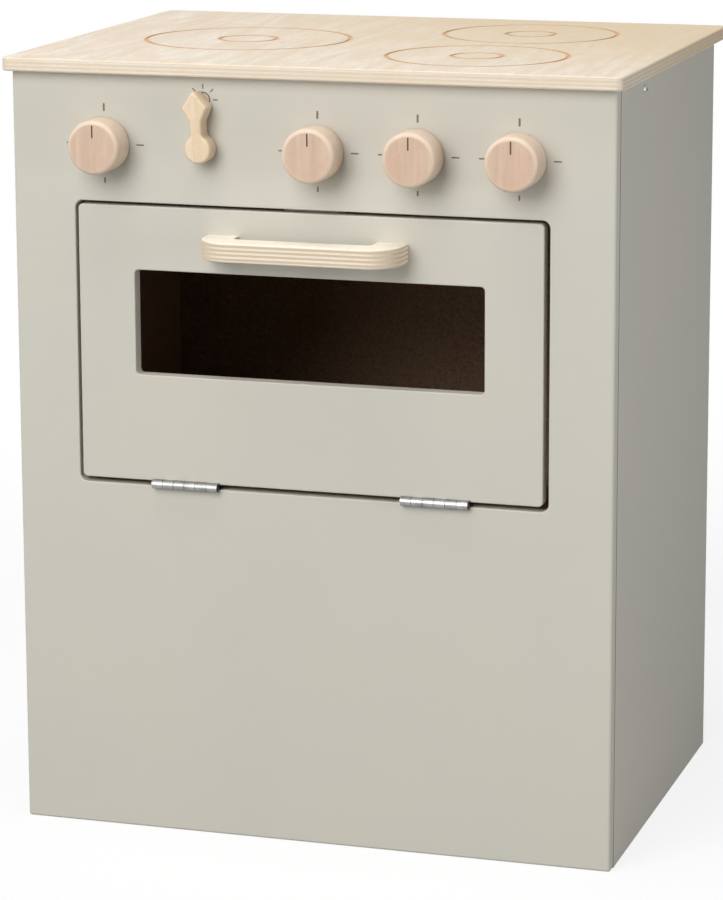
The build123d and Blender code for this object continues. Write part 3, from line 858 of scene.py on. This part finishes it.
# The studio: a pale floor and world, a large soft light from the front left, one overhead and weak fills
studio = {
    "worldLight": 0.13,
    "worldTint": (0.95, 1.0, 1.02, 1.0),
    "floorHalf": 6.0,
    "floorColour": colour(150, 151, 150),
    "floorSeen": colour(240, 240, 240),
    "floorRoughness": 0.9,
    "floorWhite": 0.84,
    "shadowFade": (0.45, 1.4),
    "aim": (0, 0, 0.25),
    "lamps": {
        "keyLight": {"place": (-0.78, -2.66, 2.25), "size": 2.5, "power": 79.0},
        "topLight": {"place": (-0.10, -0.35, 2.60), "size": 1.0, "power": 22.0},
        "frontFill": {"place": (-1.00, -2.20, 0.80), "size": 1.4, "power": 12.0},
        "sideFill": {"place": (1.05, -0.46, 0.42), "size": 0.4, "power": 2.7},
        "rearFill": {"place": (-0.70, 1.50, 0.22), "size": 0.4, "power": 6.0},
    },
}


def whiteWhereSeen(tree, plain, white, share, output):
    # the camera, a glossy and a transmission ray see white, and all other light comes from the plain shader
    path = tree.nodes.new("ShaderNodeLightPath")
    rays = [Wire(tree, path.outputs[f"Is {kind} Ray"]) for kind in ("Camera", "Glossy", "Transmission")]
    seen = rays[0].math("MAXIMUM", rays[0].math("MAXIMUM", rays[0], rays[1]), rays[2])
    white.inputs["Color"].default_value = (1, 1, 1, 1)
    white.inputs["Strength"].default_value = 1.0
    mixed = seen.node("ShaderNodeMixShader", None,
                      {0: seen * share, 1: Wire(tree, plain.outputs[0]), 2: Wire(tree, white.outputs[0])})
    tree.links.new(mixed.socket, tree.nodes[output].inputs["Surface"])


def makeFloor():
    half = studio["floorHalf"]
    corners = [(-half, -half, 0), (half, -half, 0), (half, half, 0), (-half, half, 0)]
    mesh = bpy.data.meshes.new("studio_floor")
    mesh.from_pydata(corners, [], [(0, 1, 2, 3)])
    floor = bpy.data.objects.new("studio_floor", mesh)
    bpy.context.scene.collection.objects.link(floor)
    material = bpy.data.materials.new("paleFloor")
    material.use_nodes = True
    tree = material.node_tree
    plain = tree.nodes["Principled BSDF"]
    plain.inputs["Roughness"].default_value = studio["floorRoughness"]
    # the floor is white to the camera, except for the object's soft shadow close by
    byCamera = Wire(tree, tree.nodes.new("ShaderNodeLightPath").outputs["Is Camera Ray"])
    floorColour = byCamera.mix(studio["floorColour"], studio["floorSeen"])
    tree.links.new(floorColour.socket, plain.inputs["Base Color"])
    place = Wire(tree, tree.nodes.new("ShaderNodeTexCoord").outputs["Object"])
    distance = place.node("ShaderNodeVectorMath", {"operation": "LENGTH"}, {0: place}, "Value")
    white = studio["floorWhite"]
    share = white + (1 - white) * distance.step(*studio["shadowFade"])
    whiteWhereSeen(tree, plain, tree.nodes.new("ShaderNodeEmission"), share, "Material Output")
    mesh.materials.append(material)


def makeWorld():
    world = bpy.data.worlds.new("studioWorld")
    bpy.context.scene.world = world
    world.use_nodes = True
    tree = world.node_tree
    plain = tree.nodes["Background"]
    plain.inputs["Color"].default_value = studio["worldTint"]
    plain.inputs["Strength"].default_value = studio["worldLight"]
    whiteWhereSeen(tree, plain, tree.nodes.new("ShaderNodeBackground"), 1.0, "World Output")


def makeLamps():
    for name, lamp in studio["lamps"].items():
        light = bpy.data.lights.new(name, "AREA")
        light.shape, light.size, light.energy = "DISK", lamp["size"], lamp["power"]
        holder = bpy.data.objects.new(name, light)
        bpy.context.scene.collection.objects.link(holder)
        holder.location = lamp["place"]
        backwards = holder.location - Vector(studio["aim"])
        holder.rotation_euler = backwards.to_track_quat("Z", "Y").to_euler()
        holder.visible_camera = False


makeFloor()
makeWorld()
makeLamps()


# The camera stands to the right of the front and a little above the worktop
camera = {
    "place": (0.6789, -2.1942, 0.7502),
    "turn": 0.3033,
    "tilt": 0.1983,
    "roll": -0.0039,
    "lens": 142.4,
    "sensor": 36.0,
    "shift": (0.0, -0.1),
    "farthest": 50.0,
}


def makeCamera():
    data = bpy.data.cameras.new("camera")
    data.sensor_width, data.lens = camera["sensor"], camera["lens"]
    data.shift_x, data.shift_y = camera["shift"]
    data.clip_end = camera["farthest"]
    holder = bpy.data.objects.new("camera", data)
    bpy.context.scene.collection.objects.link(holder)
    turn, tilt, roll = camera["turn"], camera["tilt"], camera["roll"]
    ahead = Vector((-math.sin(turn) * math.cos(tilt), math.cos(turn) * math.cos(tilt), -math.sin(tilt)))
    level = Vector((math.cos(turn), math.sin(turn), 0))
    upright = level.cross(ahead)
    right = level * math.cos(roll) + upright * math.sin(roll)
    up = upright * math.cos(roll) - level * math.sin(roll)
    axes = Matrix((right, up, -ahead)).transposed().to_4x4()
    holder.matrix_world = Matrix.Translation(camera["place"]) @ axes
    bpy.context.scene.camera = holder


makeCamera()
bpy.context.scene.view_settings.view_transform = "Standard"
print("studio and camera made")
